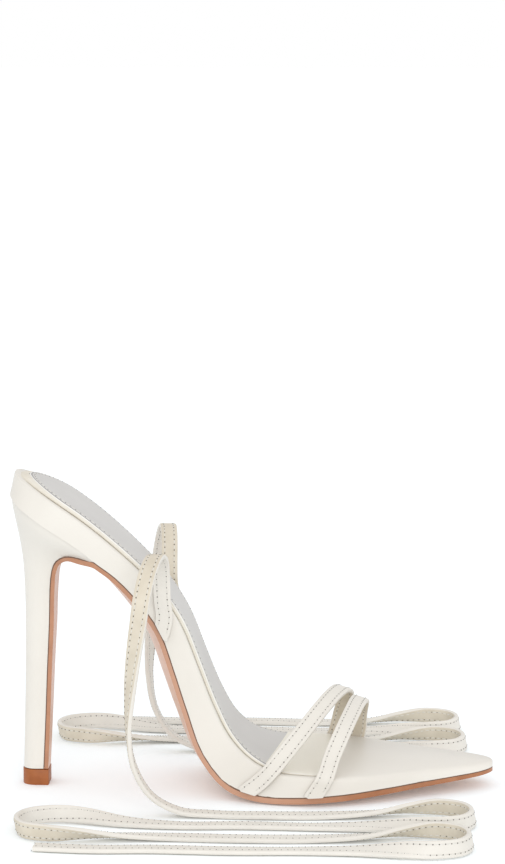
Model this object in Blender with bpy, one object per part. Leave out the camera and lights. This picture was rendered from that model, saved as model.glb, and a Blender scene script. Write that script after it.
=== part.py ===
"""Right-foot stiletto sandal with two toe straps and two long ankle ties that lie slack on the floor.

The tables are in millimetres and the objects in metres. +X runs to the toe, -Y is the outer side,
+Z is up, and the floor is z = 0, under the heel tip and the ball.
"""

import math

import bmesh
import bpy
import numpy as np

MM = 0.001
GAP = 0.3

# Footbed: the leather-wrapped board. A row for each section: where its top and its lower edge lie,
# the middle of its width, its half width, and how far its underside bulges below its edges.
#    top_x  top_z  low_x   low_z  middle  half  bulge
SOLE_ROWS = (
    (-98.6, 133.2, -100.7, 123.6, -2.5, 23.5, 0.0),
    (-90.0, 128.4, -95.2, 120.0, -2.5, 23.6, 0.0),
    (-78.0, 121.2, -83.4, 112.3, -2.5, 24.0, 0.0),
    (-66.0, 112.6, -71.8, 104.8, -2.5, 23.6, 0.0),
    (-57.0, 105.0, -63.0, 97.8, -2.4, 22.8, 0.0),
    (-49.0, 97.6, -55.4, 91.9, -2.2, 21.9, 3.2),
    (-39.0, 87.2, -46.0, 81.8, -2.0, 20.8, 4.4),
    (-29.0, 72.0, -37.0, 68.6, -1.6, 20.0, 4.9),
    (-22.5, 55.8, -31.6, 53.2, -1.3, 19.9, 4.8),
    (-15.5, 38.2, -25.8, 35.5, -0.8, 21.4, 4.3),
    (-8.0, 24.6, -18.6, 17.4, -0.4, 25.0, 3.3),
    (0.5, 17.0, -8.0, 6.4, 0.0, 30.2, 1.8),
    (10.0, 13.2, 5.0, 3.6, 0.3, 35.1, 1.3),
    (22.0, 12.4, 20.0, 3.9, 0.2, 38.2, 1.5),
    (38.0, 12.2, 37.0, 5.0, 0.0, 37.4, 1.3),
    (58.0, 11.8, 57.5, 6.3, 0.2, 29.4, 0.7),
    (78.0, 11.4, 78.0, 7.2, 0.9, 18.8, 0.3),
    (101.0, 10.8, 101.0, 8.4, 1.6, 18.8, 0.0),
)
HEEL_ROUND = 24.0
TOE_ROUND = 23.0
EDGE_ROUND_BACK = 0.7
EDGE_ROUND_TOE = 2.6
TOE_ROUNDING_X = (24.0, 48.0)
END_STEPS = (0.25, 1.0, 2.2, 4.0, 6.5, 10.0, 15.0)
SECTION_STEP = 5.2
FOOTBED_ACROSS = 9

# Insole sock: a padded sheet inside the footbed's edge, which ends under the front strap.
SOCK_INSET = 3.0
SOCK_THICK_HEEL = 1.7
SOCK_THICK_FRONT = 0.8
SOCK_FRONT_X = 31.0
SOCK_ACROSS = 5

# Outsole: lies on the footbed's underside, then on the front of the heel. A row for each section on
# the heel: the face that lies on it, its half width, and how far its middle bulges.
#     x      z    half  bulge
BREAST_ROWS = (
    (-69.6, 98.5, 19.8, 1.0),
    (-75.9, 99.4, 16.6, 0.5),
    (-80.5, 96.7, 12.6, 0.0),
    (-82.7, 91.6, 9.8, 0.0),
    (-83.5, 84.0, 8.2, 0.0),
    (-84.1, 68.0, 7.0, 0.0),
    (-84.8, 56.0, 6.4, 0.0),
    (-85.9, 33.0, 5.6, 0.0),
    (-87.2, 7.0, 5.0, 0.0),
)
# How thick it is, at places along the lower edge.
#     x   thick
OUTSOLE_THICKNESS = (
    (-100.0, 1.6),
    (-62.0, 1.8),
    (-20.0, 2.0),
    (5.0, 2.7),
    (50.0, 2.5),
    (101.0, 1.6),
)
SEAT_FRONT_X = -62.5
BREAST_RINGS = 44

# Heel: a row for each level from the seat down: its back and front in the side view, its half width,
# the half width of its flat front, and how far it bows up between them, most near the front.
#    back_x  back_z  front_x  front_z  half  front_half  bow
HEEL_ROWS = (
    (-100.3, 122.9, -63.4, 97.6, 23.3, 22.4, 0.95),
    (-99.6, 118.2, -67.6, 98.9, 22.6, 20.8, 0.6),
    (-98.5, 112.6, -72.4, 99.7, 20.6, 18.4, 0.3),
    (-97.4, 107.0, -76.8, 99.4, 17.6, 15.6, 0.0),
    (-96.4, 101.0, -80.7, 97.0, 14.8, 12.8, 0.0),
    (-95.7, 95.0, -82.8, 92.6, 12.2, 10.4, 0.0),
    (-95.1, 85.0, -83.9, 84.4, 9.8, 8.4, 0.0),
    (-94.9, 70.0, -84.4, 70.0, 8.2, 7.2, 0.0),
    (-95.1, 50.0, -85.5, 50.0, 7.0, 6.3, 0.0),
    (-95.6, 30.0, -86.4, 30.0, 6.2, 5.7, 0.0),
    (-96.3, 7.0, -87.6, 7.0, 5.5, 5.1, 0.0),
)
HEEL_MIDDLE = -2.5
HEEL_RINGS_PER_ROW = 2
HEEL_FRONT_POINTS = 7
HEEL_SIDE_POINTS = 4
HEEL_BACK_POINTS = 7
TIP_BACK_X = -96.6
TIP_FRONT_X = -85.4
TIP_HALF = 5.6
TIP_TALL = 6.6

# Straps and ties: folded leather bands of one width and thickness.
BAND_WIDE = 7.0
BAND_THICK = 2.0
BAND_CORNER = 0.5
WALL_SHARES = (0.14, 0.5, 0.95)
WALL_CLEARANCE = 0.35

# Toe straps: the low edge of the sections each crosses on its way up the wall, on the outer and the
# inner side, and the arch between them, a row for each point.
STRAP_FORWARD = (0.95, 0.0, -0.3)
BACK_STRAP_OUTER_X = (-0.5, 1.5, 3.4)
BACK_STRAP_INNER_X = (31.0, 32.0, 33.0)
#     x      y     z
BACK_STRAP_ARCH = (
    (15.4, -31.5, 21.7),
    (22.2, -24.0, 28.8),
    (28.5, -13.0, 34.7),
    (33.8, 0.0, 38.2),
    (36.9, 11.0, 38.3),
    (38.7, 21.5, 35.2),
    (38.6, 30.0, 29.8),
    (36.8, 36.2, 22.0),
)
FRONT_STRAP_OUTER_X = (26.6, 28.0, 29.5)
FRONT_STRAP_INNER_X = (40.5, 41.4, 42.3)
FRONT_STRAP_ARCH = (
    (33.9, -33.6, 20.0),
    (37.8, -25.0, 27.6),
    (41.2, -12.5, 32.4),
    (43.6, 0.0, 34.6),
    (45.0, 11.0, 34.0),
    (45.4, 22.0, 30.2),
    (44.6, 31.5, 23.0),
)
STRAP_RINGS_PER_ROW = 4

# Ankle ties: each stands up on the wall at the waist, arches over and hangs to the floor. A row for each
# point there: x, how far out from the middle of the waist, z, and the direction of the band's width.
TIE_WALL_X = (-37.4, -39.2, -43.0)
TIE_MIDDLE = -1.6
#      x     out     z   wide_x wide_out wide_z
TIE_HANG = (
    (-36.2, 22.2, 89.0, 1.0, 0.0, 0.0),
    (-36.3, 25.0, 97.0, 1.0, 0.0, 0.0),
    (-37.0, 31.4, 102.2, 1.0, 0.0, 0.0),
    (-38.2, 39.6, 103.0, 1.0, 0.0, 0.0),
    (-40.0, 46.8, 99.0, 1.0, 0.0, 0.0),
    (-41.8, 51.4, 91.0, 1.0, 0.1, 0.0),
    (-43.6, 53.4, 78.0, 0.9, 0.3, 0.0),
    (-45.5, 54.0, 64.0, 0.8, 0.6, 0.0),
    (-47.0, 54.0, 49.0, 0.5, 0.8, 0.0),
    (-47.5, 53.8, 34.0, 0.2, 1.0, 0.0),
    (-45.0, 53.4, 19.5, 0.0, 1.0, 0.0),
    (-38.0, 53.0, 8.2, 0.0, 1.0, 0.0),
    (-27.5, 53.0, 2.6, 0.0, 1.0, 0.0),
)
# On the floor it goes to and fro. A row for each point: x, how far out, and how far the band rolls up
# on to its edge, which is how it turns.
#     x     out   roll
TIE_FLOOR = (
    (-14.0, 53.0, 0.0),
    (8.0, 54.0, 0.0),
    (32.0, 53.0, 0.0),
    (52.0, 51.0, 15.0),
    (66.0, 48.0, 45.0),
    (77.0, 47.5, 75.0),
    (87.0, 52.0, 80.0),
    (90.5, 61.5, 80.0),
    (87.0, 71.0, 80.0),
    (77.0, 75.5, 75.0),
    (65.0, 74.5, 45.0),
    (51.0, 71.5, 15.0),
    (28.0, 70.0, 0.0),
    (0.0, 69.0, 0.0),
    (-28.0, 70.0, 0.0),
    (-50.0, 68.0, 15.0),
    (-65.0, 65.0, 45.0),
    (-76.0, 64.5, 75.0),
    (-86.0, 69.0, 80.0),
    (-89.5, 78.5, 80.0),
    (-86.0, 88.0, 80.0),
    (-76.0, 92.5, 75.0),
    (-64.0, 91.5, 45.0),
    (-50.0, 88.5, 15.0),
    (-28.0, 87.0, 0.0),
    (0.0, 88.0, 0.0),
    (28.0, 87.0, 0.0),
    (50.0, 85.0, 15.0),
    (64.0, 82.0, 45.0),
    (75.0, 81.5, 75.0),
    (85.0, 86.0, 80.0),
    (88.5, 95.5, 80.0),
    (85.0, 105.0, 80.0),
    (75.0, 109.5, 75.0),
    (63.0, 108.5, 45.0),
    (49.0, 105.5, 15.0),
    (26.0, 104.0, 0.0),
    (-4.0, 105.0, 0.0),
    (-34.0, 104.0, 0.0),
    (-60.0, 105.0, 0.0),
    (-80.0, 103.0, 0.0),
)
TIE_RINGS_PER_ROW = 2

# Colours (linear), roughness.
OFF_WHITE_LEATHER = ((0.80, 0.77, 0.70), 0.45)
TAN_LEATHER = ((0.52, 0.25, 0.14), 0.5)
BROWN_RUBBER = ((0.42, 0.17, 0.06), 0.5)
SILVER_SOCK = ((0.62, 0.62, 0.63), 0.4)


def running_length(points):
    """How far along the points each of them lies."""
    steps = np.linalg.norm(np.diff(points, axis=0), axis=1)
    return np.concatenate([[0.0], np.cumsum(steps)])


def smooth_curve(rows, knots, places):
    """The smooth curve through the rows, which stand at the knots, read at the places."""
    rows = np.asarray(rows, float)
    step = np.diff(knots)[:, None]
    slope = np.diff(rows, axis=0) / step
    inner = (slope[:-1] * step[1:] + slope[1:] * step[:-1]) / (step[:-1] + step[1:])
    tangent = np.vstack([slope[:1], inner, slope[-1:]])
    places = np.clip(np.atleast_1d(places), knots[0], knots[-1])
    row = np.clip(np.searchsorted(knots, places, side="right") - 1, 0, len(step) - 1)
    span = step[row]
    share = (places - knots[row])[:, None] / span
    rest = 1 - share
    return (
        (1 + 2 * share) * rest**2 * rows[row]
        + share * rest**2 * span * tangent[row]
        + share**2 * (3 - 2 * share) * rows[row + 1]
        - share**2 * rest * span * tangent[row + 1]
    )


def smooth_step(value, start, end):
    share = min(max((value - start) / (end - start), 0.0), 1.0)
    return share * share * (3 - 2 * share)


def round_end(distance, radius):
    """Height of a circle of this radius, as a share of it, at a distance from its edge."""
    return math.sqrt(max(0.0, 1 - (1 - min(distance / radius, 1)) ** 2))


SOLE_TABLE = np.array(SOLE_ROWS)
SOLE_KNOTS = running_length((SOLE_TABLE[:, 0:2] + SOLE_TABLE[:, 2:4]) / 2)
SOLE_LONG = SOLE_KNOTS[-1]


class SoleSection:
    """One section across the footbed: a plane from its lower edge up to its top."""

    def __init__(self, place):
        row = smooth_curve(SOLE_ROWS, SOLE_KNOTS, place)[0]
        self.low = np.array([row[2], 0.0, row[3]])
        up = np.array([row[0], 0.0, row[1]]) - self.low
        self.thick = np.linalg.norm(up)
        self.up = up / self.thick
        self.middle = row[4]
        self.bulge = row[6]
        toe = math.sqrt(max(0.0, min((SOLE_LONG - place) / TOE_ROUND, 1.0)))
        self.half = row[5] * round_end(place, HEEL_ROUND) * toe
        rounding = smooth_step(row[0], *TOE_ROUNDING_X)
        self.edge = EDGE_ROUND_BACK + (EDGE_ROUND_TOE - EDGE_ROUND_BACK) * rounding
        self.edge = min(self.edge, 0.6 * self.thick, 0.6 * self.half)
        end = min(place, SOLE_LONG - place)
        self.drop = self.edge * (1 - round_end(end, self.edge))

    def at(self, across, height):
        """A point of the section: its distance from the middle and its height over the lower edge."""
        return self.low + self.up * height + np.array([0.0, self.middle + across, 0.0])


def section_places(start, end):
    """Places along the sole, close together at the two round ends."""
    steps = np.array(END_STEPS)
    first, last = start + steps, end - steps[::-1]
    count = max(2, round((last[0] - first[-1]) / SECTION_STEP))
    return np.concatenate([first, np.linspace(first[-1], last[0], count + 1)[1:-1], last])


def place_of_low_edge(x):
    """The place along the sole where its lower edge is at x."""
    places = np.linspace(0, SOLE_LONG, 1200)
    edge = smooth_curve(SOLE_ROWS, SOLE_KNOTS, places)[:, 2]
    return float(np.interp(x, edge, places))


SEAT_FRONT = place_of_low_edge(SEAT_FRONT_X)
BEHIND_SEAT_FRONT = section_places(0.0, SEAT_FRONT + END_STEPS[-1])
BEHIND_SEAT_FRONT = [place for place in BEHIND_SEAT_FRONT if place < SEAT_FRONT - 1]
AHEAD_OF_SEAT = section_places(SEAT_FRONT - END_STEPS[0], SOLE_LONG)


def solid_from_rings(name, rings, finish):
    """A closed object through rings of points in millimetres, with a flat cap at either end."""
    mesh = bmesh.new()
    loops = [[mesh.verts.new(point * MM) for point in ring] for ring in rings]
    for near, far in zip(loops, loops[1:]):
        for i in range(len(near)):
            j = (i + 1) % len(near)
            mesh.faces.new((near[i], near[j], far[j], far[i]))
    mesh.faces.new(loops[0][::-1])
    mesh.faces.new(loops[-1])
    bmesh.ops.recalc_face_normals(mesh, faces=mesh.faces)
    bmesh.ops.triangulate(mesh, faces=mesh.faces, quad_method="SHORT_EDGE")
    data = bpy.data.meshes.new(name)
    mesh.to_mesh(data)
    mesh.free()
    data.shade_smooth()
    data.set_sharp_from_angle(angle=math.radians(40))
    data.materials.append(finish)
    made = bpy.data.objects.new(name, data)
    bpy.context.scene.collection.objects.link(made)
    return made


def material(name, look):
    colour, roughness = look
    made = bpy.data.materials.new(name)
    made.use_nodes = True
    shader = made.node_tree.nodes["Principled BSDF"]
    shader.inputs["Base Color"].default_value = (*colour, 1.0)
    shader.inputs["Roughness"].default_value = roughness
    return made


def make_footbed(finish):
    rings = []
    for place in [*BEHIND_SEAT_FRONT, *AHEAD_OF_SEAT]:
        section = SoleSection(place)
        half, edge = section.half, section.edge
        top = section.thick - section.drop
        across = np.linspace(-1, 1, FOOTBED_ACROSS)
        under = [section.at(v * half, -section.bulge * (1 - v * v)) for v in across]
        corner = [(half, top - edge), (half - 0.3 * edge, top - 0.3 * edge)]
        rise = [section.at(y, h) for y, h in corner]
        over = [section.at(v * (half - edge), top) for v in across[::-2]]
        fall = [section.at(-y, h) for y, h in reversed(corner)]
        rings.append(under + rise + over + fall)
    return solid_from_rings("footbed", rings, finish)


def make_insole_sock(finish):
    front = place_of_low_edge(SOCK_FRONT_X)
    places = [place for place in section_places(SOCK_INSET, SOLE_LONG) if place < front]
    rings = []
    for place in [*places, front]:
        section = SoleSection(place)
        half = section.half - SOCK_INSET
        if place < HEEL_ROUND:
            radius = HEEL_ROUND - SOCK_INSET
            half = min(half, radius * round_end(place - SOCK_INSET, radius))
        thick = SOCK_THICK_HEEL + (SOCK_THICK_FRONT - SOCK_THICK_HEEL) * place / front
        edge = min(0.5 * thick, 0.4 * half)
        floor = section.thick + GAP
        across = np.linspace(-1, 1, SOCK_ACROSS)
        under = [section.at(v * half, floor) for v in across]
        over = [section.at(v * (half - edge), floor + thick) for v in across[::-1]]
        rise = [section.at(half, floor + thick - edge)]
        fall = [section.at(-half, floor + thick - edge)]
        rings.append(under + rise + over + fall)
    return solid_from_rings("insole_sock", rings, finish)


def outsole_thickness(x):
    places, thick = np.array(OUTSOLE_THICKNESS).T
    return float(np.interp(x, places, thick))


def flat_ring(upper, lower):
    return [np.array([p[0], p[1], max(p[2], 0.0)]) for p in list(upper) + list(lower[::-1])]


def make_outsole(finish):
    across = np.linspace(-1, 1, FOOTBED_ACROSS)
    rings = []
    path = []
    for place in AHEAD_OF_SEAT:
        section = SoleSection(place)
        thick = outsole_thickness(section.low[0])
        curve = section.bulge * (1 - across**2) + GAP
        upper = [section.at(v * section.half, -h) for v, h in zip(across, curve)]
        lower = [section.at(v * section.half, -h - thick) for v, h in zip(across, curve)]
        rings.append(flat_ring(upper, lower))
        edge = section.at(0.0, -GAP)
        path.append((edge[0], edge[2], section.half, section.bulge, section.middle))
    breast = [(*row, HEEL_MIDDLE) for row in BREAST_ROWS]
    rows = path[2::-1] + breast
    knots = running_length(np.array(rows)[:, :2])
    inside = np.linspace(knots[2], knots[-1], BREAST_RINGS)[1:]
    points = smooth_curve(rows, knots, inside)
    ahead = smooth_curve(rows, knots, inside + 0.1) - smooth_curve(rows, knots, inside - 0.1)
    heel_rings = []
    for (x, z, half, bulge, middle), step in zip(points, ahead):
        out = np.array([-step[1], 0.0, step[0]]) / np.hypot(step[0], step[1])
        thick = outsole_thickness(x)
        face = np.array([x, middle, z])
        side = np.array([0.0, half, 0.0])
        curve = bulge * (1 - across**2)
        upper = [face + side * v + out * h for v, h in zip(across, curve)]
        lower = [face + side * v + out * (h + thick) for v, h in zip(across, curve)]
        heel_rings.append(flat_ring(upper, lower))
    return solid_from_rings("outsole", heel_rings[::-1] + rings, finish)


def heel_ring(back, front, half, front_half, bow=0.0):
    """A D-shaped ring: a flat front, sides that swell a little and a round back."""
    long = np.linalg.norm(back - front)
    round_long = min(long, half)
    taper = 1 - front_half / half
    straight = np.linspace(0, long - round_long, HEEL_SIDE_POINTS)[:-1]
    turn = np.linspace(0, math.pi / 2, HEEL_BACK_POINTS)
    outline = [(a, half) for a in straight]
    outline += [(long - round_long * (1 - math.sin(t)), half * math.cos(t)) for t in turn]
    outline = [(a, y * (1 - taper * (1 - a / long) ** 2)) for a, y in outline]
    outline = [(0.0, y) for y in np.linspace(0, front_half, HEEL_FRONT_POINTS // 2 + 1)[1:-1]] + outline
    whole = [(0.0, 0.0)] + outline + [(a, -y) for a, y in outline[-2::-1]]
    ring = []
    for a, y in whole:
        share = a / long
        lift = 6.75 * bow * share * (1 - share) ** 2
        ring.append(front + (back - front) * share + np.array([0.0, HEEL_MIDDLE + y, lift]))
    return ring


def make_heel(finish):
    knots = np.arange(len(HEEL_ROWS), dtype=float)
    places = np.linspace(0, knots[-1], HEEL_RINGS_PER_ROW * (len(HEEL_ROWS) - 1) + 1)
    rings = []
    for back_x, back_z, front_x, front_z, *shape in smooth_curve(HEEL_ROWS, knots, places):
        back, front = np.array([back_x, 0.0, back_z]), np.array([front_x, 0.0, front_z])
        rings.append(heel_ring(back, front, *shape))
    return solid_from_rings("heel", rings, finish)


def make_top_piece(finish):
    rings = []
    for height in (TIP_TALL, 0.0):
        back, front = np.array([TIP_BACK_X, 0.0, height]), np.array([TIP_FRONT_X, 0.0, height])
        rings.append(heel_ring(back, front, TIP_HALF, TIP_HALF))
    return solid_from_rings("top_piece", rings, finish)


def wall_rows(low_x, side, shares):
    """Points up the outside of the wall, where its lower edge is at each x, with the wall's direction."""
    rows = []
    for x, share in zip(low_x, shares):
        place = place_of_low_edge(x)
        section, ahead = SoleSection(place), SoleSection(place + 1.0)
        here = section.at(side * section.half, share * section.thick)
        along = ahead.at(side * ahead.half, share * ahead.thick) - here
        along /= np.linalg.norm(along)
        out = np.cross(section.up, along) * side
        out *= np.sign(out[1]) * side / np.linalg.norm(out)
        rows.append((*(here + out * (WALL_CLEARANCE + BAND_THICK / 2)), *along))
    return rows


def band_rings(rows, rings_per_row):
    """Rings of a flat band through rows of a point and the direction of its width."""
    rows = np.array(rows)
    knots = running_length(rows[:, :3])
    parts = [np.linspace(a, b, rings_per_row, endpoint=False) for a, b in zip(knots, knots[1:])]
    places = np.concatenate(parts + [knots[-1:]])
    path = smooth_curve(rows, knots, places)
    heading = smooth_curve(rows, knots, places + 0.05) - smooth_curve(rows, knots, places - 0.05)
    wide, thick, corner = BAND_WIDE / 2, BAND_THICK / 2, BAND_CORNER
    profile = [(-wide, corner - thick), (corner - wide, -thick)]
    profile += [(-a, b) for a, b in reversed(profile)]
    profile += [(-a, -b) for a, b in profile]
    rings = []
    for row, ahead in zip(path, heading):
        ahead = ahead[:3] / np.linalg.norm(ahead[:3])
        side = row[3:] - ahead * np.dot(row[3:], ahead)
        side /= np.linalg.norm(side)
        face = np.cross(ahead, side)
        rings.append([row[:3] + side * a + face * b for a, b in profile])
    return rings


def make_toe_strap(name, outer_x, inner_x, arch, finish):
    outer = wall_rows(outer_x, -1, WALL_SHARES)
    inner = wall_rows(inner_x, 1, WALL_SHARES)
    over = [(*point, *STRAP_FORWARD) for point in arch]
    rings = band_rings(outer + over + inner[::-1], STRAP_RINGS_PER_ROW)
    return solid_from_rings(name, rings, finish)


def hang_rows(side):
    """Rows of the tie between the wall and the floor, on one side of the sandal."""
    rows = []
    for x, out, z, wide_x, wide_out, wide_z in TIE_HANG:
        rows.append((x, TIE_MIDDLE + side * out, z, wide_x, side * wide_out, wide_z))
    return rows


def floor_rows(side):
    """Rows of the tie on the floor, rolled up on to its edge by each point's angle."""
    route = np.array([(x, TIE_MIDDLE + side * out) for x, out, roll in TIE_FLOOR])
    heading = np.gradient(route, axis=0)
    rows = []
    for (x, y), (ahead_x, ahead_y), (_, _, roll) in zip(route, heading, TIE_FLOOR):
        turn = math.radians(roll)
        flat = np.array([-ahead_y, ahead_x, 0.0]) * side / math.hypot(ahead_x, ahead_y)
        wide = flat * math.cos(turn) + np.array([0.0, 0.0, math.sin(turn)])
        height = BAND_WIDE / 2 * math.sin(turn) + BAND_THICK / 2 * math.cos(turn) + GAP
        rows.append((x, y, height, *wide))
    return rows


def make_ankle_tie(name, side, finish):
    rows = wall_rows(TIE_WALL_X, side, WALL_SHARES) + hang_rows(side) + floor_rows(side)
    return solid_from_rings(name, band_rings(rows, TIE_RINGS_PER_ROW), finish)


for leftover in list(bpy.data.objects):
    bpy.data.objects.remove(leftover)

leather = material("off_white_leather", OFF_WHITE_LEATHER)
make_top_piece(material("brown_rubber", BROWN_RUBBER))
make_heel(leather)
make_outsole(material("tan_leather", TAN_LEATHER))
make_footbed(leather)
make_insole_sock(material("silver_sock", SILVER_SOCK))
make_toe_strap("toe_strap_back", BACK_STRAP_OUTER_X, BACK_STRAP_INNER_X, BACK_STRAP_ARCH, leather)
make_toe_strap("toe_strap_front", FRONT_STRAP_OUTER_X, FRONT_STRAP_INNER_X, FRONT_STRAP_ARCH, leather)
make_ankle_tie("ankle_tie_outer", -1, leather)
make_ankle_tie("ankle_tie_inner", 1, leather)
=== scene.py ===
"""An off-white stiletto sandal, its ankle ties laid slack, dressed over its solids on a pale floor."""

from math import cos, radians, sin, tau

import bmesh
import bpy
import numpy as np
from mathutils import Matrix, Vector
from mathutils.bvhtree import BVHTree


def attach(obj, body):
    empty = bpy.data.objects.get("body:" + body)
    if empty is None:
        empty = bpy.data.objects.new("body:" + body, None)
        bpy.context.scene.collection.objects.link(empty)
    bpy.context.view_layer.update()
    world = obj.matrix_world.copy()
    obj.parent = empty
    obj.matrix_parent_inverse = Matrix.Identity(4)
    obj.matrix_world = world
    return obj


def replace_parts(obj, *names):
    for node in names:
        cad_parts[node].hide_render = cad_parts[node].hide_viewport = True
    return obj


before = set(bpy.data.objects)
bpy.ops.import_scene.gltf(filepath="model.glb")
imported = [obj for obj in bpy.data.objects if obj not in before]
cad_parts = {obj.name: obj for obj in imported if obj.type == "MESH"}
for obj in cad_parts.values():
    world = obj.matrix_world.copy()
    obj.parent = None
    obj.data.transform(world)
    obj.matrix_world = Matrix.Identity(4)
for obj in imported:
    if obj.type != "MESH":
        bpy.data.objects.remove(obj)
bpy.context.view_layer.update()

# The top piece: the hard rubber tip that is nailed under the heel, moulded as one D-shaped block.
# Its rims are a little rounded, and its brown is mottled where it was ground flush.
TIP_RIM = 0.0005
CRISP = 50
TOUCHING = 5e-6
JOINED_FLAT = 20
JOINED_SQUARE = 50
TINT_STOPS = (0.35, 0.65)
TINT_DETAIL = 3
GRAIN_STRENGTH = 0.5
TIP_BROWN = ((0.285, 0.077, 0.012), (0.345, 0.10, 0.02))


def merged_copy(node, joined=False):
    """A working copy of a solid of the frame, its triangles joined where it is shaped further."""
    shape = bmesh.new()
    shape.from_mesh(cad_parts[node].data)
    bmesh.ops.remove_doubles(shape, verts=shape.verts, dist=TOUCHING)
    if joined:
        bmesh.ops.join_triangles(
            shape,
            faces=shape.faces,
            angle_face_threshold=radians(JOINED_FLAT),
            angle_shape_threshold=radians(JOINED_SQUARE),
        )
    return shape


def sharp_edges(shape, angle):
    edges = [edge for edge in shape.edges if len(edge.link_faces) == 2]
    return [edge for edge in edges if edge.calc_face_angle() > radians(angle)]


def round_edges(shape, edges, width):
    bmesh.ops.bevel(
        shape,
        geom=edges,
        offset=width,
        offset_type="OFFSET",
        affect="EDGES",
        segments=2,
        profile=0.5,
        material=-1,
        clamp_overlap=True,
    )


def grained(name, colours, patch, roughness, grain, depth):
    """A finish of two close colours in soft patches, with a fine grain pressed into it."""
    made = bpy.data.materials.new(name)
    made.use_nodes = True
    nodes, links = made.node_tree.nodes, made.node_tree.links
    shader = nodes["Principled BSDF"]
    shader.inputs["Roughness"].default_value = roughness
    where = nodes.new("ShaderNodeTexCoord")
    patches = nodes.new("ShaderNodeTexNoise")
    patches.inputs["Scale"].default_value = 1 / patch
    patches.inputs["Detail"].default_value = TINT_DETAIL
    tint = nodes.new("ShaderNodeValToRGB")
    for stop, place, colour in zip(tint.color_ramp.elements, TINT_STOPS, colours):
        stop.position = place
        stop.color = (*colour, 1)
    pores = nodes.new("ShaderNodeTexVoronoi")
    pores.inputs["Scale"].default_value = 1 / grain
    press = nodes.new("ShaderNodeBump")
    press.inputs["Strength"].default_value = GRAIN_STRENGTH
    press.inputs["Distance"].default_value = depth
    links.new(where.outputs["Object"], patches.inputs["Vector"])
    links.new(where.outputs["Object"], pores.inputs["Vector"])
    links.new(patches.outputs["Fac"], tint.inputs["Fac"])
    links.new(tint.outputs["Color"], shader.inputs["Base Color"])
    links.new(pores.outputs["Distance"], press.inputs["Height"])
    links.new(press.outputs["Normal"], shader.inputs["Normal"])
    return made


def add_piece(name, shape, finishes):
    """Puts a finished mesh in the scene as a piece of the sandal."""
    mesh = bpy.data.meshes.new(name)
    shape.to_mesh(mesh)
    shape.free()
    if "custom_normal" in mesh.attributes:
        mesh.attributes.remove(mesh.attributes["custom_normal"])
    mesh.shade_smooth()
    mesh.set_sharp_from_angle(angle=radians(CRISP))
    for finish in finishes:
        mesh.materials.append(finish)
    piece = bpy.data.objects.new(name, mesh)
    bpy.context.scene.collection.objects.link(piece)
    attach(piece, "root")
    return piece


tip = merged_copy("top_piece", joined=True)
round_edges(tip, sharp_edges(tip, CRISP), TIP_RIM)
tip_finish = grained("tip_rubber", TIP_BROWN, patch=0.004, roughness=0.5, grain=0.0005, depth=0.00004)
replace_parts(add_piece("heel_tip", tip, [tip_finish]), "top_piece")


# The heel: a slim moulded core covered with one off-white leather, drawn round it from the front and
# glued, so that its sides run unbroken from the seat to the tip and its front edges are crisp.
OFF_WHITE = ((0.69, 0.656, 0.600), (0.71, 0.676, 0.620))
GLUE_GAP = 0.0012
GLUE_BITE = 0.00008
GLUE_FACING = -0.7


def surface_of(node):
    """A solid of the frame as a surface to measure to."""
    shape = merged_copy(node)
    surface = BVHTree.FromBMesh(shape)
    shape.free()
    return surface


def glue(shape, *neighbours):
    """Presses the side of a piece that faces its neighbours a hair's breadth into them."""
    for node in neighbours:
        neighbour = surface_of(node)
        pressed = {}
        for face in shape.faces:
            place, normal, _, _ = neighbour.find_nearest(face.calc_center_median(), GLUE_GAP)
            if place is not None and face.normal.dot(normal) < GLUE_FACING:
                for vert in face.verts:
                    pressed[vert] = pressed.get(vert, Vector()) + face.normal
        for vert, out in pressed.items():
            out.normalize()
            gap = (neighbour.find_nearest(vert.co)[0] - vert.co).dot(out)
            vert.co += out * (max(gap, 0) + GLUE_BITE)


wrap_leather = grained("wrap_leather", OFF_WHITE, patch=0.03, roughness=0.42, grain=0.0006, depth=0.00003)
heel = merged_copy("heel")
glue(heel, "footbed")
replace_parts(add_piece("covered_heel", heel, [wrap_leather]), "heel")


# The outsole: one sheet of tan leather, glued under the toe, the ball and the waist and down the front
# of the heel. Its face is pale and polished, its cut edge is inked a darker orange tan, and a thin dark
# line of painted shade runs along the top of that edge, where the seam under the leather above is in shade.
SOLE_FACE = ((0.60, 0.36, 0.255), (0.66, 0.41, 0.30))
SOLE_EDGE = ((0.33, 0.125, 0.05), (0.39, 0.16, 0.07))
INKED_BEHIND = (-0.062, -0.040)
INKED_AHEAD = (0.010, 0.045)
INK_SHARES = (0.75, 0.45, 0.45, 1.0)
SOLE_LONG = (-0.1, 0.1)
SOLE_EASE = 2
EDGE_LEAN = 0.6
TOE_END_X = 0.08
# Painted shade: the thin dark brown line along the top of the edge is the shadow in the seam under the heel
# and footbed.
SEAM_SHADE_BROWN = ((0.12, 0.06, 0.035), (0.16, 0.085, 0.05))
SEAM_SHADE_WIDE = 0.00032

outsole = merged_copy("outsole", joined=True)
glue(outsole, "heel", "footbed")
for face in outsole.faces:
    at_toe = face.normal.x > EDGE_LEAN and face.calc_center_median().x > TOE_END_X
    face.material_index = 1 if abs(face.normal.y) > EDGE_LEAN or at_toe else 0
edge_faces = [face for face in outsole.faces if face.material_index == 1]
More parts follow.
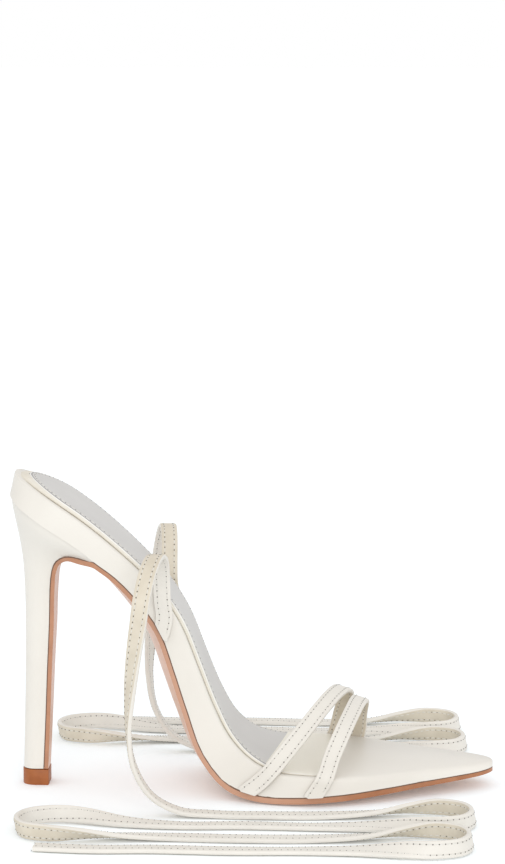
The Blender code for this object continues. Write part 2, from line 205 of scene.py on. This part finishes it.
# The strip along the top of the edge that touches the heel or footbed gets the painted seam shade.
seam_shade_strip = bmesh.ops.inset_region(outsole, faces=edge_faces, thickness=SEAM_SHADE_WIDE, use_even_offset=True)
uppers = [surface_of(node) for node in ("heel", "footbed")]
for face in seam_shade_strip["faces"]:
    place = face.calc_center_median()
    if any(upper.find_nearest(place, 2 * SEAM_SHADE_WIDE)[0] is not None for upper in uppers):
        face.material_index = 2
sole_face = grained("polished_sole", SOLE_FACE, patch=0.02, roughness=0.35, grain=0.0009, depth=0.00003)
sole_edge = grained("inked_edge", SOLE_EDGE, patch=0.006, roughness=0.4, grain=0.0004, depth=0.00005)
tree = sole_edge.node_tree
apart = tree.nodes.new("ShaderNodeSeparateXYZ")
along = tree.nodes.new("ShaderNodeMapRange")
along.inputs["From Min"].default_value, along.inputs["From Max"].default_value = SOLE_LONG
ink = tree.nodes.new("ShaderNodeValToRGB")
ink_ends = (*INKED_BEHIND, *INKED_AHEAD)
ink_places = [(x - SOLE_LONG[0]) / (SOLE_LONG[1] - SOLE_LONG[0]) for x in ink_ends]
for place in ink_places[1:-1]:
    ink.color_ramp.elements.new(place)
for stop, place, share in zip(ink.color_ramp.elements, ink_places, INK_SHARES):
    stop.position = place
    stop.color = (share, share, share, 1)
inked = tree.nodes.new("ShaderNodeMix")
inked.data_type = "RGBA"
inked.inputs["A"].default_value = (*SOLE_FACE[0], 1)
tree.links.new(tree.nodes["Texture Coordinate"].outputs["Object"], apart.inputs["Vector"])
tree.links.new(apart.outputs["X"], along.inputs["Value"])
tree.links.new(along.outputs["Result"], ink.inputs["Fac"])
tree.links.new(ink.outputs["Color"], inked.inputs["Factor"])
tree.links.new(tree.nodes["Color Ramp"].outputs["Color"], inked.inputs["B"])
tree.links.new(inked.outputs["Result"], tree.nodes["Principled BSDF"].inputs["Base Color"])
crease = outsole.edges.layers.float.new("crease_edge")
for edge in sharp_edges(outsole, CRISP):
    edge[crease] = 1.0
painted_seam_shade = grained("painted_seam_shade", SEAM_SHADE_BROWN, patch=0.003, roughness=0.6, grain=0.0003, depth=0.00003)
tan_sole = add_piece("tan_sole", outsole, [sole_face, sole_edge, painted_seam_shade])
ease = tan_sole.modifiers.new("ease", "SUBSURF")
ease.levels = ease.render_levels = SOLE_EASE
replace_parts(tan_sole, "outsole")


# The footbed: the insole board and its shank, wrapped in the same off-white leather. Its edge is the
# wall that shows all round, folded crisp from the heel to the straps and rounded over at the toe.
footbed = add_piece("wrapped_footbed", merged_copy("footbed"), [wrap_leather])
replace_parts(footbed, "footbed")


# The insole sock: a padded sheet of silver-grey leather glued on the footbed. Its two cream layers show
# at the edge under a white piping, it is stitched just inside that, with painted shade in the narrow
# groove between the piping and the stitches, and its front end is thin and cream.
SILVER = ((0.56, 0.545, 0.528), (0.58, 0.565, 0.548))
SILVER_SHINE = 0.2
CREAM_FRONT = (0.80, 0.765, 0.68)
CREAM_FOAM = ((0.66, 0.61, 0.52), (0.70, 0.655, 0.57))
PIPING_WHITE = ((0.76, 0.745, 0.71), (0.79, 0.775, 0.74))
CREAM_EDGE = ((0.70, 0.66, 0.58), (0.73, 0.69, 0.61))
# The groove's dark grey is painted shade: the shadow in the narrow groove just inside the piping.
GROOVE_SHADE_GREY = ((0.28, 0.27, 0.26), (0.34, 0.33, 0.32))
THREAD = ((0.62, 0.60, 0.55), (0.68, 0.66, 0.61))
# The needle holes' near-black is painted shade: the shadow down each hole.
NEEDLE_HOLE_SHADE = ((0.07, 0.06, 0.05), (0.10, 0.09, 0.075))
SOCK_UP = Vector((0.5, 0.0, 0.8))
UNDER_LEAN = -0.5
TOP_LEAN = 0.9
RIM_LEAN = 0.4
FRONT_END_X = 0.0100
FRONT_END_SLANT = 0.12
FRONT_TIP_X = 0.031
FRONT_SKIVED = 0.00085
BACK_RIM_X = (-0.060, -0.098)
BACK_RIM_WIDE = 0.0034
BACK_RIM_NARROWS = 0.05
SEAT_SLOPE = Vector((0.86, 0.0, -0.51))
FOAM_SPREAD = 0.0020
FOAM_SUNK = 0.0010
SOFTNESS = 2
PIPING_RADIUS = 0.00034
PIPING_ROUND = 2
PIPING_SUNK = 0.00022
GROOVE_WIDE = 0.0006
PAD_RISE = 0.0003
STITCH_INSET = 0.0012
STITCH_PITCH = 0.0025
THREAD_HALF = (0.00085, 0.00024, 0.00020)
HOLE_HALF = (0.00030, 0.00026, 0.00012)
STITCH_SIDES = 6
STITCH_RINGS = 4


def closed_line(edges):
    """The vertices of a closed line of edges, in order."""
    edge = min(edges, key=lambda edge: edge.index)
    line = [edge.verts[0]]
    vert = edge.verts[1]
    while vert is not line[0]:
        line.append(vert)
        edge = next(other for other in vert.link_edges if other in edges and other is not edge)
        vert = edge.other_vert(vert)
    return line


def border(shape, faces):
    """The closed line round a patch of faces."""
    inside = set(faces)
    shape.edges.index_update()
    return closed_line({e for e in shape.edges if sum(f in inside for f in e.link_faces) == 1})


def in_front(place):
    """How far a place lies ahead of the line where the silver leather ends."""
    return place.x - FRONT_END_SLANT * place.y - FRONT_END_X


def make_stitch():
    """A stitch that runs along X on a face that looks along Z: a thread, and at its end a small dark body
    of painted shade where the needle hole is.
    """
    shape = bmesh.new()
    thread = Matrix.Diagonal((*THREAD_HALF, 1))
    hole = Matrix.Translation((STITCH_PITCH / 2, 0, 0)) @ Matrix.Diagonal((*HOLE_HALF, 1))
    ball = {"u_segments": STITCH_SIDES, "v_segments": STITCH_RINGS, "radius": 1}
    bmesh.ops.create_uvsphere(shape, matrix=hole, **ball)
    for face in shape.faces:
        face.material_index = 1
    bmesh.ops.create_uvsphere(shape, matrix=thread, **ball)
    mesh = bpy.data.meshes.new("stitch")
    shape.to_mesh(mesh)
    shape.free()
    return mesh


def sew(seam, place, ahead, out):
    """Adds one stitch to a seam."""
    side = out.cross(ahead).normalized()
    turn = Matrix((side.cross(out), side, out)).transposed().to_4x4()
    stitch = one_stitch.copy()
    stitch.transform(Matrix.Translation(place) @ turn)
    seam.from_mesh(stitch)
    bpy.data.meshes.remove(stitch)


def even_places(points, pitch):
    """Places at an even pitch along a line of points, each with its direction and the nearest point."""
    steps = np.linalg.norm(np.diff(points, axis=0), axis=1)
    length = np.concatenate([[0.0], np.cumsum(steps)])
    places = np.arange(pitch / 2, length[-1], pitch)
    at = np.stack([np.interp(places, length, axis) for axis in np.array(points).T], axis=1)
    ahead = np.gradient(at, axis=0)
    nearest = np.interp(places, length, np.arange(len(points))).round().astype(int)
    return [Vector(p) for p in at], [Vector(a).normalized() for a in ahead], nearest


SIDE, TOP, SHADED_GROOVE, RIM = range(4)
sock = merged_copy("insole_sock", joined=True)
under = [face for face in sock.faces if face.normal.dot(SOCK_UP) < UNDER_LEAN]
sock_top = []
for face in sock.faces:
    place = face.calc_center_median()
    below = min(under, key=lambda other: (other.calc_center_median() - place).length)
    lean = -face.normal.dot(below.normal)
    face.material_index = TOP if lean > TOP_LEAN else RIM if lean > RIM_LEAN else SIDE
    if lean > TOP_LEAN:
        sock_top.append(face)
sock.normal_update()
for vert in border(sock, under):
    down = next(face.normal for face in vert.link_faces if face in under)
    out = vert.normal - down * vert.normal.dot(down)
    vert.co += out.normalized() * FOAM_SPREAD + down * FOAM_SUNK
for vert in {vert for face in sock_top for vert in face.verts}:
    share = in_front(vert.co) / (FRONT_TIP_X - FRONT_END_X)
    vert.co.z -= FRONT_SKIVED * min(max(share, 0), 1)
    share = (BACK_RIM_X[0] - vert.co.x) / (BACK_RIM_X[0] - BACK_RIM_X[1])
    share = min(max(share, 0), 1) ** 2
    vert.co += SEAT_SLOPE * BACK_RIM_WIDE * share
    vert.co.y *= 1 - BACK_RIM_NARROWS * share
rim_line = [Vector(vert.co) for vert in border(sock, sock_top)]
# The outer strip of the top sinks into a groove and takes the painted groove shade.
for width, rise, finish in ((GROOVE_WIDE, PAD_RISE, SHADED_GROOVE), (STITCH_INSET, 0.0, TOP)):
    strip = bmesh.ops.inset_region(
        sock,
        faces=sock_top,
        thickness=width,
        depth=rise,
        use_even_offset=True,
    )
    for face in strip["faces"]:
        face.material_index = finish if in_front(face.calc_center_median()) < 0 else TOP
stitch_line = [Vector(vert.co) for vert in border(sock, sock_top)]

foam = grained("sock_foam", CREAM_FOAM, patch=0.003, roughness=0.7, grain=0.0003, depth=0.00005)
rim_leather = grained("sock_rim", CREAM_EDGE, patch=0.003, roughness=0.6, grain=0.0003, depth=0.00005)
silver = grained("sock_silver", SILVER, patch=0.02, roughness=0.5, grain=0.0005, depth=0.00003)
tree = silver.node_tree
tree.nodes["Principled BSDF"].inputs["Specular IOR Level"].default_value = SILVER_SHINE
apart = tree.nodes.new("ShaderNodeSeparateXYZ")
slant = tree.nodes.new("ShaderNodeMath")
slant.operation = "MULTIPLY_ADD"
slant.inputs[1].default_value = -FRONT_END_SLANT
ahead_of_end = tree.nodes.new("ShaderNodeMath")
ahead_of_end.operation = "GREATER_THAN"
ahead_of_end.inputs[1].default_value = FRONT_END_X
two_parts = tree.nodes.new("ShaderNodeMix")
two_parts.data_type = "RGBA"
two_parts.inputs["B"].default_value = (*CREAM_FRONT, 1)
tree.links.new(tree.nodes["Texture Coordinate"].outputs["Object"], apart.inputs["Vector"])
tree.links.new(apart.outputs["Y"], slant.inputs[0])
tree.links.new(apart.outputs["X"], slant.inputs[2])
tree.links.new(slant.outputs["Value"], ahead_of_end.inputs[0])
tree.links.new(ahead_of_end.outputs["Value"], two_parts.inputs["Factor"])
tree.links.new(tree.nodes["Color Ramp"].outputs["Color"], two_parts.inputs["A"])
tree.links.new(two_parts.outputs["Result"], tree.nodes["Principled BSDF"].inputs["Base Color"])
# Painted shade for the groove inside the piping.
groove_shade = grained("painted_groove_shade", GROOVE_SHADE_GREY, patch=0.004, roughness=0.6, grain=0.0004, depth=0.00003)
sock_finishes = [foam, silver, groove_shade, rim_leather]
padded_sock = add_piece("padded_sock", sock, sock_finishes)
soften = padded_sock.modifiers.new("soften", "SUBSURF")
soften.levels = soften.render_levels = SOFTNESS
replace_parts(padded_sock, "insole_sock")

thread_finish = grained("thread", THREAD, patch=0.002, roughness=0.6, grain=0.0002, depth=0.00002)
# Painted shade for the needle holes at the stitch ends.
hole_shade_finish = grained("painted_hole_shade", NEEDLE_HOLE_SHADE, patch=0.002, roughness=0.8, grain=0.0002, depth=0.00002)
one_stitch = make_stitch()
bpy.context.view_layer.update()
smoothed_sock = padded_sock.evaluated_get(bpy.context.evaluated_depsgraph_get())
seam = bmesh.new()
for place, ahead, _ in zip(*even_places(stitch_line + stitch_line[:1], STITCH_PITCH)):
    _, on_sock, out, _ = smoothed_sock.closest_point_on_mesh(place)
    if in_front(place) < 0:
        sew(seam, on_sock, ahead, out)
add_piece("sock_stitches", seam, [thread_finish, hole_shade_finish])

piping = bpy.data.curves.new("sock_piping", "CURVE")
piping.dimensions = "3D"
piping.bevel_depth = PIPING_RADIUS
piping.bevel_resolution = PIPING_ROUND
after_front = max(range(len(rim_line)), key=lambda i: (rim_line[i] - rim_line[i - 1]).length)
rim_line = rim_line[after_front:] + rim_line[:after_front]
bead = piping.splines.new("BEZIER")
bead.bezier_points.add(len(rim_line) - 1)
for knot, place in zip(bead.bezier_points, rim_line):
    knot.co = smoothed_sock.closest_point_on_mesh(place)[1]
    knot.co.z -= PIPING_SUNK
    knot.handle_left_type = knot.handle_right_type = "AUTO"
piping_leather = grained("piping", PIPING_WHITE, patch=0.01, roughness=0.45, grain=0.0004, depth=0.00002)
piping.materials.append(piping_leather)
sock_piping = bpy.data.objects.new("sock_piping", piping)
bpy.context.scene.collection.objects.link(sock_piping)
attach(sock_piping, "root")


# The toe straps: narrow bands of soft off-white leather folded over a beige lining and sewn near both
# edges. Their ends lie on the outside of the wall and are glued in at the sole's edge.
MM = 0.001
BAND_HALF = (0.0035, 0.0010)
BAND_AROUND = 24
BAND_SQUARENESS = 0.36
BAND_STEP = 0.0015
BAND_CLOSED = 1e-5
SEAM_ACROSS = 0.0020
LINING_TURN = -0.55
LINING_BEIGE = ((0.58, 0.52, 0.42), (0.64, 0.58, 0.48))
# The middle of each strap from its outer to its inner end, and the direction of its width.
#     x      y     z   wide_x wide_y wide_z
BACK_STRAP = (
    (-2.2, -33.9, 4.0, 0.93, -0.34, -0.15),
    (0.0, -34.3, 5.9, 0.93, -0.34, -0.15),
    (4.0, -35.0, 9.2, 0.92, -0.35, -0.18),
    (8.1, -35.6, 13.3, 0.90, -0.36, -0.23),
    (15.4, -31.5, 21.7, 0.95, 0.0, -0.3),
    (22.2, -24.0, 28.8, 0.95, 0.0, -0.3),
    (28.5, -13.0, 34.7, 0.95, 0.0, -0.3),
    (33.8, 0.0, 38.2, 0.95, 0.0, -0.3),
    (36.9, 11.0, 38.3, 0.95, 0.0, -0.3),
    (38.7, 21.5, 35.2, 0.95, 0.0, -0.3),
    (38.6, 30.0, 29.8, 0.95, 0.0, -0.3),
    (36.8, 36.2, 22.0, 0.95, 0.0, -0.3),
    (34.3, 39.4, 11.8, 0.99, -0.15, 0.0),
    (32.8, 39.6, 8.4, 0.99, -0.13, 0.03),
    (31.3, 39.7, 5.6, 0.99, -0.11, 0.06),
    (30.0, 39.7, 3.2, 0.99, -0.11, 0.06),
)
FRONT_STRAP = (
    (25.6, -39.7, 3.5, 1.0, 0.0, 0.06),
    (26.8, -39.7, 5.4, 1.0, 0.0, 0.06),
    (28.7, -39.7, 8.3, 1.0, 0.03, 0.03),
    (30.8, -39.7, 11.9, 1.0, 0.06, 0.0),
    (33.9, -33.6, 20.0, 0.95, 0.0, -0.3),
    (37.8, -25.0, 27.6, 0.95, 0.0, -0.3),
    (41.2, -12.5, 32.4, 0.95, 0.0, -0.3),
    (43.6, 0.0, 34.6, 0.95, 0.0, -0.3),
    (45.0, 11.0, 34.0, 0.95, 0.0, -0.3),
    (45.4, 22.0, 30.2, 0.95, 0.0, -0.3),
    (44.6, 31.5, 23.0, 0.95, 0.0, -0.3),
    (43.5, 37.2, 11.7, 0.94, -0.33, 0.0),
    (42.2, 37.5, 8.7, 0.95, -0.31, 0.02),
    (41.0, 37.8, 6.2, 0.95, -0.29, 0.05),
    (39.9, 38.0, 3.8, 0.95, -0.29, 0.05),
)
# Where the straps are cut off along the sole's edge: a point of the edge, and the way up from it.
BACK_STRAP_CUTS = (((0.0, -34.4, 4.5), (0.21, 0.0, 0.98)), ((31.0, 39.7, 4.6), (-0.06, 0.0, 1.0)))
FRONT_STRAP_CUTS = (((27.0, -39.7, 4.4), (-0.06, 0.0, 1.0)), ((41.0, 37.8, 5.3), (-0.06, 0.0, 1.0)))
CUT_REACH = 0.010
CUT_SLACK = 1e-6

band_leather = grained("band_leather", OFF_WHITE, patch=0.012, roughness=0.46, grain=0.0008, depth=0.00008)
band_lining = grained("band_lining", LINING_BEIGE, patch=0.008, roughness=0.65, grain=0.0006, depth=0.00006)


def band_route(rows):
    """A smooth line through the rows: its points and its frames, across, out and ahead."""
    rows = np.array(rows) * (MM, MM, MM, 1, 1, 1)
    steps = np.linalg.norm(np.diff(rows[:, :3], axis=0), axis=1)[:, None]
    knots = np.concatenate([[0.0], np.cumsum(steps)])
    slope = np.diff(rows, axis=0) / steps
    inner = (slope[:-1] * steps[1:] + slope[1:] * steps[:-1]) / (steps[:-1] + steps[1:])
    tangent = np.vstack([slope[:1], inner, slope[-1:]])
    places = np.linspace(0, knots[-1], round(knots[-1] / BAND_STEP) + 1)
    row = np.clip(np.searchsorted(knots, places, side="right") - 1, 0, len(steps) - 1)
    share = (places - knots[row])[:, None] / steps[row]
    rest = 1 - share
    line = (1 + 2 * share) * rest**2 * rows[row] + share**2 * (3 - 2 * share) * rows[row + 1]
    line += share * rest * steps[row] * (rest * tangent[row] - share * tangent[row + 1])
    middle = [Vector(point) for point in line[:, :3]]
    ahead = [Vector(step).normalized() for step in np.gradient(line[:, :3], axis=0)]
    across = [(Vector(w) - a * a.dot(Vector(w))).normalized() for w, a in zip(line[:, 3:], ahead)]
    out = [a.cross(w) for a, w in zip(ahead, across)]
    return middle, across, out, ahead


def make_band(name, rows, cuts, faces_out):
    """A folded band with its lining along a route, cut off at the sole's edge, and its stitches."""
    middle, across, out, ahead = band_route(rows)
    out = [face * faces_out for face in out]
    count = len(middle) - 1
    shape = bmesh.new()
    bmesh.ops.create_grid(shape, x_segments=count, y_segments=BAND_AROUND, size=0.5)
    for face in shape.faces:
        turn = (face.calc_center_median().y + 0.5) * tau
        face.material_index = 1 if sin(turn) < LINING_TURN else 0
    for vert in shape.verts:
        i = round((vert.co.x + 0.5) * count)
        turn = (vert.co.y + 0.5) * tau
        wide = BAND_HALF[0] * np.sign(cos(turn)) * abs(cos(turn)) ** BAND_SQUARENESS
        thick = BAND_HALF[1] * np.sign(sin(turn)) * abs(sin(turn)) ** BAND_SQUARENESS
        vert.co = middle[i] + across[i] * wide + out[i] * thick
    bmesh.ops.remove_doubles(shape, verts=shape.verts, dist=BAND_CLOSED)
    cuts = [(Vector(place) * MM, Vector(up)) for place, up in cuts]
    for cut, up in cuts:
        verts = [vert for vert in shape.verts if (vert.co - cut).length < CUT_REACH]
        near = set(verts)
        edges = [edge for edge in shape.edges if near.issuperset(edge.verts)]
        faces = [face for face in shape.faces if near.issuperset(face.verts)]
        bmesh.ops.bisect_plane(
            shape,
            geom=[*verts, *edges, *faces],
            dist=CUT_SLACK,
            plane_co=cut,
            plane_no=up,
            clear_inner=True,
        )
    bmesh.ops.holes_fill(shape, edges=[edge for edge in shape.edges if edge.is_boundary])
    bmesh.ops.recalc_face_normals(shape, faces=shape.faces)
    band = add_piece(name, shape, [band_leather, band_lining])
    seam = bmesh.new()
    for wide, thick in ((-1, 1), (1, 1), (-1, -1), (1, -1)):
        offset = (wide * SEAM_ACROSS, thick * BAND_HALF[1])
        line = [m + w * offset[0] + o * offset[1] for m, w, o in zip(middle, across, out)]
        for place, heading, i in zip(*even_places(line, STITCH_PITCH)):
            ends = [(place - cut).dot(up) for cut, up in cuts if (place - cut).length < CUT_REACH]
            if min(ends, default=1) > STITCH_PITCH / 2:
                sew(seam, place, heading, out[i] * thick)
    stitches = add_piece(name + "_stitches", seam, [thread_finish, hole_shade_finish])
    return band, stitches, middle


back_strap, _, _ = make_band("back_toe_strap", BACK_STRAP, BACK_STRAP_CUTS, -1)
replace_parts(back_strap, "toe_strap_back")
front_strap, _, _ = make_band("front_toe_strap", FRONT_STRAP, FRONT_STRAP_CUTS, -1)
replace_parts(front_strap, "toe_strap_front")


# The ankle ties: two long bands made as the straps are. Each is glued in at the sole's edge by the
# waist, stands up the wall, bends over outwards, hangs, and lies folded to and fro on the floor.
TIE_MIDDLE_Y = -1.6
TIE_CUT_X = -37.2
TIE_CUT_Z = 69.0
TIE_CUT_UP = (0.89, 0.0, 0.45)
TIE_OFF_FLOOR = 0.3
# The root of each tie on the wall of its own side.
OUTER_TIE_ROOT = (
    (-37.3, -22.8, 66.5, 0.46, 0.05, -0.89),
    (-36.3, -23.0, 69.8, 0.46, 0.05, -0.89),
    (-35.3, -23.2, 74.4, 0.51, 0.06, -0.86),
    (-36.0, -23.7, 82.6, 0.58, 0.07, -0.81),
)
INNER_TIE_ROOT = (
    (-37.3, 19.8, 66.5, 0.46, -0.01, -0.89),
    (-36.3, 19.8, 69.9, 0.46, -0.01, -0.89),
    (-35.3, 19.8, 74.5, 0.51, -0.01, -0.86),
    (-36.1, 20.0, 82.6, 0.58, -0.03, -0.82),
)
# Above the wall and down to the floor: x, how far out, z, and the direction of its width.
TIE_HANG = (
    (-36.2, 22.2, 89.0, 1.0, 0.0, 0.0),
    (-36.3, 25.0, 97.0, 1.0, 0.0, 0.0),
    (-37.0, 31.4, 102.2, 1.0, 0.0, 0.0),
    (-38.2, 39.6, 103.0, 1.0, 0.0, 0.0),
    (-40.0, 46.8, 99.0, 1.0, 0.0, 0.0),
    (-41.8, 51.4, 91.0, 1.0, 0.1, 0.0),
    (-43.6, 53.4, 78.0, 0.9, 0.3, 0.0),
    (-45.5, 54.0, 64.0, 0.8, 0.6, 0.0),
    (-47.0, 54.0, 49.0, 0.5, 0.8, 0.0),
    (-47.5, 53.8, 34.0, 0.2, 1.0, 0.0),
    (-45.0, 53.4, 19.5, 0.0, 1.0, 0.0),
    (-38.0, 53.0, 8.2, 0.0, 1.0, 0.0),
    (-27.5, 53.0, 2.6, 0.0, 1.0, 0.0),
)
# On the floor: x, how far out, and how far the band rolls up on to its edge, which is how it turns.
TIE_FLOOR = (
    (-14.0, 53.0, 0.0),
    (8.0, 54.0, 0.0),
    (32.0, 53.0, 0.0),
    (52.0, 51.0, 15.0),
    (66.0, 48.0, 45.0),
    (77.0, 47.5, 75.0),
    (87.0, 52.0, 80.0),
    (90.5, 61.5, 80.0),
    (87.0, 71.0, 80.0),
    (77.0, 75.5, 75.0),
    (65.0, 74.5, 45.0),
    (51.0, 71.5, 15.0),
    (28.0, 70.0, 0.0),
    (0.0, 69.0, 0.0),
    (-28.0, 70.0, 0.0),
    (-50.0, 68.0, 15.0),
    (-65.0, 65.0, 45.0),
    (-76.0, 64.5, 75.0),
    (-86.0, 69.0, 80.0),
    (-89.5, 78.5, 80.0),
    (-86.0, 88.0, 80.0),
    (-76.0, 92.5, 75.0),
    (-64.0, 91.5, 45.0),
    (-50.0, 88.5, 15.0),
    (-28.0, 87.0, 0.0),
    (0.0, 88.0, 0.0),
    (28.0, 87.0, 0.0),
    (50.0, 85.0, 15.0),
    (64.0, 82.0, 45.0),
    (75.0, 81.5, 75.0),
    (85.0, 86.0, 80.0),
    (88.5, 95.5, 80.0),
    (85.0, 105.0, 80.0),
    (75.0, 109.5, 75.0),
    (63.0, 108.5, 45.0),
    (49.0, 105.5, 15.0),
    (26.0, 104.0, 0.0),
    (-4.0, 105.0, 0.0),
    (-34.0, 104.0, 0.0),
    (-60.0, 105.0, 0.0),
    (-80.0, 103.0, 0.0),
)


def tie_rows(root, side):
    """The rows of one tie from its root to its end, on one side of the sandal."""
    rows = list(root)
    half_wide, half_thick = (half / MM for half in BAND_HALF)
    for x, out, z, wide_x, wide_out, wide_z in TIE_HANG:
        rows.append((x, TIE_MIDDLE_Y + side * out, z, wide_x, side * wide_out, wide_z))
    route = np.array([(x, TIE_MIDDLE_Y + side * out) for x, out, roll in TIE_FLOOR])
    heading = np.gradient(route, axis=0)
    for (x, y), (ahead_x, ahead_y), (_, _, roll) in zip(route, heading, TIE_FLOOR):
        flat = Vector((-ahead_y, ahead_x, 0)).normalized() * side
        flat_share, edge_share = cos(radians(roll)), sin(radians(roll))
        wide = flat * flat_share + Vector((0, 0, edge_share))
        height = half_wide * edge_share + half_thick * flat_share + TIE_OFF_FLOOR
        rows.append((x, y, height, *wide))
    return rows


for name, root, side in (("outer", OUTER_TIE_ROOT, -1), ("inner", INNER_TIE_ROOT, 1)):
    cuts = [((TIE_CUT_X, root[1][1], TIE_CUT_Z), TIE_CUT_UP)]
    tie, stitches, middle = make_band(f"{name}_ankle_tie", tie_rows(root, side), cuts, side)
    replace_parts(tie, f"ankle_tie_{name}")


# The floor and the light: a white light table in a white room, with one soft lamp behind the camera that
# makes the near sides of the sandal brighter than its upper faces.
FLOOR_WIDE = 20.0
FLOOR_WHITE = (0.915, 0.953, 0.975, 1)
FLOOR_GLOW = 0.08
ROOM_LIGHT = 1.0
LAMP_FROM = Vector((0.10, -1.0, 0.32))
LAMP_LIGHT = 1.05
LAMP_SOFT = 45

sweep = bmesh.new()
bmesh.ops.create_grid(sweep, x_segments=2, y_segments=2, size=FLOOR_WIDE)
mesh = bpy.data.meshes.new("floor")
sweep.to_mesh(mesh)
sweep.free()
floor_finish = bpy.data.materials.new("light_table")
floor_finish.use_nodes = True
shader = floor_finish.node_tree.nodes["Principled BSDF"]
shader.inputs["Base Color"].default_value = FLOOR_WHITE
shader.inputs["Roughness"].default_value = 1.0
shader.inputs["Specular IOR Level"].default_value = 0.0
shader.inputs["Emission Color"].default_value = (1, 1, 1, 1)
shader.inputs["Emission Strength"].default_value = FLOOR_GLOW
mesh.materials.append(floor_finish)
floor = bpy.data.objects.new("floor", mesh)
bpy.context.scene.collection.objects.link(floor)

lamp = bpy.data.lights.new("front", "SUN")
lamp.energy = LAMP_LIGHT
lamp.angle = radians(LAMP_SOFT)
light = bpy.data.objects.new("front", lamp)
light.rotation_euler = LAMP_FROM.to_track_quat("Z", "Y").to_euler()
bpy.context.scene.collection.objects.link(light)

world = bpy.data.worlds.new("studio")
world.use_nodes = True
world.node_tree.nodes["Background"].inputs["Color"].default_value = (1.0, 1.0, 1.0, 1)
world.node_tree.nodes["Background"].inputs["Strength"].default_value = ROOM_LIGHT
bpy.context.scene.world = world
bpy.context.scene.view_settings.view_transform = "Standard"


# The camera: far off and a little above, on the outer side and slightly towards the toe.
CAMERA_TARGET = Vector((0.0, -0.0012, 0.1493))
CAMERA_FAR = 1.2
CAMERA_TURN = 2.5
CAMERA_RISE = 8.0
CAMERA_LENS = 120.85
CAMERA_SENSOR = 36.0
CAMERA_SIGHT = 50.0

camera = bpy.data.cameras.new("camera")
camera.lens = CAMERA_LENS
camera.sensor_width = CAMERA_SENSOR
camera.clip_end = CAMERA_SIGHT
viewer = bpy.data.objects.new("camera", camera)
turn, rise = radians(CAMERA_TURN), radians(CAMERA_RISE)
back = Vector((sin(turn) * cos(rise), -cos(turn) * cos(rise), sin(rise)))
viewer.location = CAMERA_TARGET + back * CAMERA_FAR
viewer.rotation_euler = back.to_track_quat("Z", "Y").to_euler()
bpy.context.scene.collection.objects.link(viewer)
bpy.context.scene.camera = viewer
